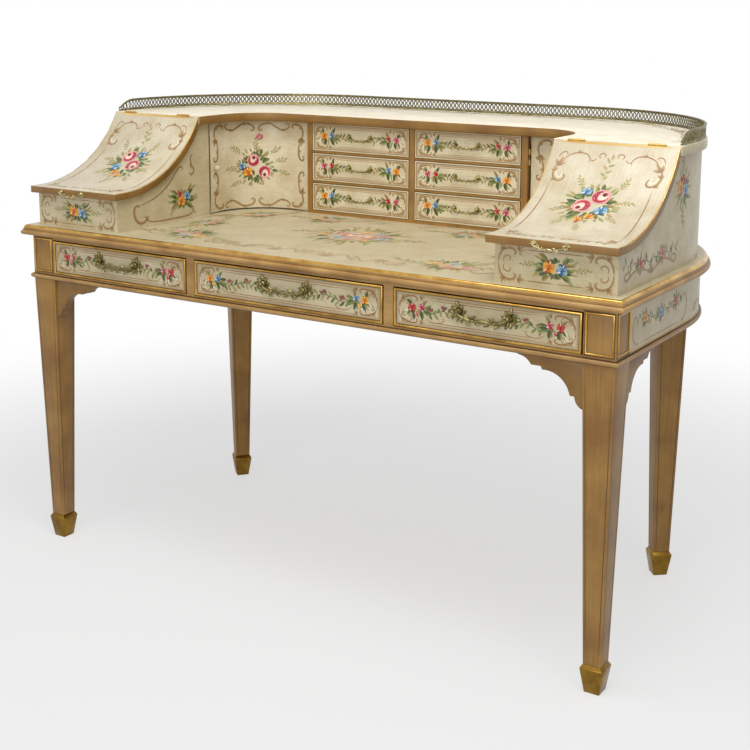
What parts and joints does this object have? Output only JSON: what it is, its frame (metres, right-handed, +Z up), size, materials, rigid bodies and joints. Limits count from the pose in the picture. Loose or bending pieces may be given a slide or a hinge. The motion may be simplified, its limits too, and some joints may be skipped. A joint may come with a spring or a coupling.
{
  "type": "writing desk",
  "caption": "D-shaped painted writing desk on tapered legs with frieze drawers, a curved case of small drawers, bowed cupboards, lidded wells and a pierced gallery.",
  "frame": {"origin": "on the floor under the middle of the desk's overall box", "axes": "+X along the width to the writer's right, +Y from the front to the curved back, +Z up"},
  "size_m": [1.5, 0.82, 1.043],
  "materials": {
    "cream_paint": "antique cream paint with painted flowers",
    "tan_paint": "raw sienna paint with a glaze",
    "gilding": "gilded wood",
    "bare_wood": "plain oiled wood",
    "antique_brass": "dark antique patina",
    "bright_brass": "polished"
  },
  "bodies": {
    "carcass": {"legs": "tan_paint", "spade_feet": "gilding", "leg_brackets": "tan_paint", "front_rails": "tan_paint", "drawer_runners": "bare_wood", "frieze_apron": "cream_paint", "leg_beads": "gilding", "frieze_astragal": "tan_paint", "writing_top": "cream_paint", "top_moulding": "tan_paint", "well_boards": "cream_paint", "case_back": "cream_paint", "drawer_nest": "tan_paint", "top_shelf": "cream_paint", "gallery": "antique_brass", "hinge_leaves": "bright_brass"},
    "frieze_drawer_left": {"frieze_drawer_left_front": "cream_paint", "frieze_drawer_left_box": "bare_wood", "frieze_drawer_left_pull": "antique_brass"},
    "frieze_drawer_left_bail": {"frieze_drawer_left_bail": "antique_brass"},
    "frieze_drawer_centre": {"frieze_drawer_centre_front": "cream_paint", "frieze_drawer_centre_box": "bare_wood", "frieze_drawer_centre_pull": "antique_brass"},
    "frieze_drawer_centre_bail": {"frieze_drawer_centre_bail": "antique_brass"},
    "frieze_drawer_right": {"frieze_drawer_right_front": "cream_paint", "frieze_drawer_right_box": "bare_wood", "frieze_drawer_right_pull": "antique_brass"},
    "frieze_drawer_right_bail": {"frieze_drawer_right_bail": "antique_brass"},
    "small_drawer_left_bottom": {"small_drawer_left_bottom": "cream_paint", "small_drawer_left_bottom_pull": "antique_brass"},
    "small_drawer_left_bottom_bail": {"small_drawer_left_bottom_bail": "antique_brass"},
    "small_drawer_right_bottom": {"small_drawer_right_bottom": "cream_paint", "small_drawer_right_bottom_pull": "antique_brass"},
    "small_drawer_right_bottom_bail": {"small_drawer_right_bottom_bail": "antique_brass"},
    "small_drawer_left_middle": {"small_drawer_left_middle": "cream_paint", "small_drawer_left_middle_pull": "antique_brass"},
    "small_drawer_left_middle_bail": {"small_drawer_left_middle_bail": "antique_brass"},
    "small_drawer_right_middle": {"small_drawer_right_middle": "cream_paint", "small_drawer_right_middle_pull": "antique_brass"},
    "small_drawer_right_middle_bail": {"small_drawer_right_middle_bail": "antique_brass"},
    "small_drawer_left_top": {"small_drawer_left_top": "cream_paint", "small_drawer_left_top_pull": "antique_brass"},
    "small_drawer_left_top_bail": {"small_drawer_left_top_bail": "antique_brass"},
    "small_drawer_right_top": {"small_drawer_right_top": "cream_paint", "small_drawer_right_top_pull": "antique_brass"},
    "small_drawer_right_top_bail": {"small_drawer_right_top_bail": "antique_brass"},
    "left_lid": {"left_lid": "cream_paint", "left_lid_hinges": "bright_brass", "left_lid_pull": "bright_brass"},
    "left_lid_bail": {"left_lid_bail": "bright_brass"},
    "left_door": {"left_door": "cream_paint", "left_door_hinges": "bright_brass", "left_door_knob": "bright_brass"},
    "right_lid": {"right_lid": "cream_paint", "right_lid_hinges": "bright_brass", "right_lid_pull": "bright_brass"},
    "right_lid_bail": {"right_lid_bail": "bright_brass"},
    "right_door": {"right_door": "cream_paint", "right_door_hinges": "bright_brass", "right_door_knob": "bright_brass"}
  },
  "joints": [
    {"name": "frieze_drawer_left_slide", "type": "slide", "parent": "carcass", "child": "frieze_drawer_left", "axis": [0, -1, 0], "range_m": [0, 0.33]},
    {"name": "frieze_drawer_left_bail_swing", "type": "hinge", "parent": "frieze_drawer_left", "child": "frieze_drawer_left_bail", "pos_m": [-0.464, -0.4, 0.70865], "axis": [-1, 0, 0], "range_deg": [0, 80]},
    {"name": "frieze_drawer_centre_slide", "type": "slide", "parent": "carcass", "child": "frieze_drawer_centre", "axis": [0, -1, 0], "range_m": [0, 0.33]},
    {"name": "frieze_drawer_centre_bail_swing", "type": "hinge", "parent": "frieze_drawer_centre", "child": "frieze_drawer_centre_bail", "pos_m": [0, -0.4, 0.70865], "axis": [-1, 0, 0], "range_deg": [0, 80]},
    {"name": "frieze_drawer_right_slide", "type": "slide", "parent": "carcass", "child": "frieze_drawer_right", "axis": [0, -1, 0], "range_m": [0, 0.33]},
    {"name": "frieze_drawer_right_bail_swing", "type": "hinge", "parent": "frieze_drawer_right", "child": "frieze_drawer_right_bail", "pos_m": [0.464, -0.4, 0.70865], "axis": [-1, 0, 0], "range_deg": [0, 80]},
    {"name": "small_drawer_left_bottom_slide", "type": "slide", "parent": "carcass", "child": "small_drawer_left_bottom", "axis": [0, -1, 0], "range_m": [0, 0.165]},
    {"name": "small_drawer_left_bottom_bail_swing", "type": "hinge", "parent": "small_drawer_left_bottom", "child": "small_drawer_left_bottom_bail", "pos_m": [-0.146, 0.105, 0.81848], "axis": [-1, 0, 0], "range_deg": [0, 80]},
    {"name": "small_drawer_right_bottom_slide", "type": "slide", "parent": "carcass", "child": "small_drawer_right_bottom", "axis": [0, -1, 0], "range_m": [0, 0.165]},
    {"name": "small_drawer_right_bottom_bail_swing", "type": "hinge", "parent": "small_drawer_right_bottom", "child": "small_drawer_right_bottom_bail", "pos_m": [0.146, 0.105, 0.81848], "axis": [-1, 0, 0], "range_deg": [0, 80]},
    {"name": "small_drawer_left_middle_slide", "type": "slide", "parent": "carcass", "child": "small_drawer_left_middle", "axis": [0, -1, 0], "range_m": [0, 0.165]},
    {"name": "small_drawer_left_middle_bail_swing", "type": "hinge", "parent": "small_drawer_left_middle", "child": "small_drawer_left_middle_bail", "pos_m": [-0.146, 0.105, 0.89215], "axis": [-1, 0, 0], "range_deg": [0, 80]},
    {"name": "small_drawer_right_middle_slide", "type": "slide", "parent": "carcass", "child": "small_drawer_right_middle", "axis": [0, -1, 0], "range_m": [0, 0.165]},
    {"name": "small_drawer_right_middle_bail_swing", "type": "hinge", "parent": "small_drawer_right_middle", "child": "small_drawer_right_middle_bail", "pos_m": [0.146, 0.105, 0.89215], "axis": [-1, 0, 0], "range_deg": [0, 80]},
    {"name": "small_drawer_left_top_slide", "type": "slide", "parent": "carcass", "child": "small_drawer_left_top", "axis": [0, -1, 0], "range_m": [0, 0.165]},
    {"name": "small_drawer_left_top_bail_swing", "type": "hinge", "parent": "small_drawer_left_top", "child": "small_drawer_left_top_bail", "pos_m": [-0.146, 0.105, 0.96582], "axis": [-1, 0, 0], "range_deg": [0, 80]},
    {"name": "small_drawer_right_top_slide", "type": "slide", "parent": "carcass", "child": "small_drawer_right_top", "axis": [0, -1, 0], "range_m": [0, 0.165]},
    {"name": "small_drawer_right_top_bail_swing", "type": "hinge", "parent": "small_drawer_right_top", "child": "small_drawer_right_top_bail", "pos_m": [0.146, 0.105, 0.96582], "axis": [-1, 0, 0], "range_deg": [0, 80]},
    {"name": "left_lid_hinge", "type": "hinge", "parent": "carcass", "child": "left_lid", "pos_m": [-0.5965, -0.101, 1.015], "axis": [-1, 0, 0], "range_deg": [0, 100]},
    {"name": "left_lid_bail_swing", "type": "hinge", "parent": "left_lid", "child": "left_lid_bail", "pos_m": [-0.5965, -0.402, 0.8533], "axis": [-1, 0, 0], "range_deg": [0, 80]},
    {"name": "left_door_hinge", "type": "hinge", "parent": "carcass", "child": "left_door", "pos_m": [-0.3005, 0.123, 0.882], "axis": [0, 0, 1], "range_deg": [0, 48]},
    {"name": "right_lid_hinge", "type": "hinge", "parent": "carcass", "child": "right_lid", "pos_m": [0.5965, -0.101, 1.015], "axis": [-1, 0, 0], "range_deg": [0, 100]},
    {"name": "right_lid_bail_swing", "type": "hinge", "parent": "right_lid", "child": "right_lid_bail", "pos_m": [0.5965, -0.402, 0.8533], "axis": [-1, 0, 0], "range_deg": [0, 80]},
    {"name": "right_door_hinge", "type": "hinge", "parent": "carcass", "child": "right_door", "pos_m": [0.3005, 0.123, 0.882], "axis": [0, 0, -1], "range_deg": [0, 48]}
  ]
}
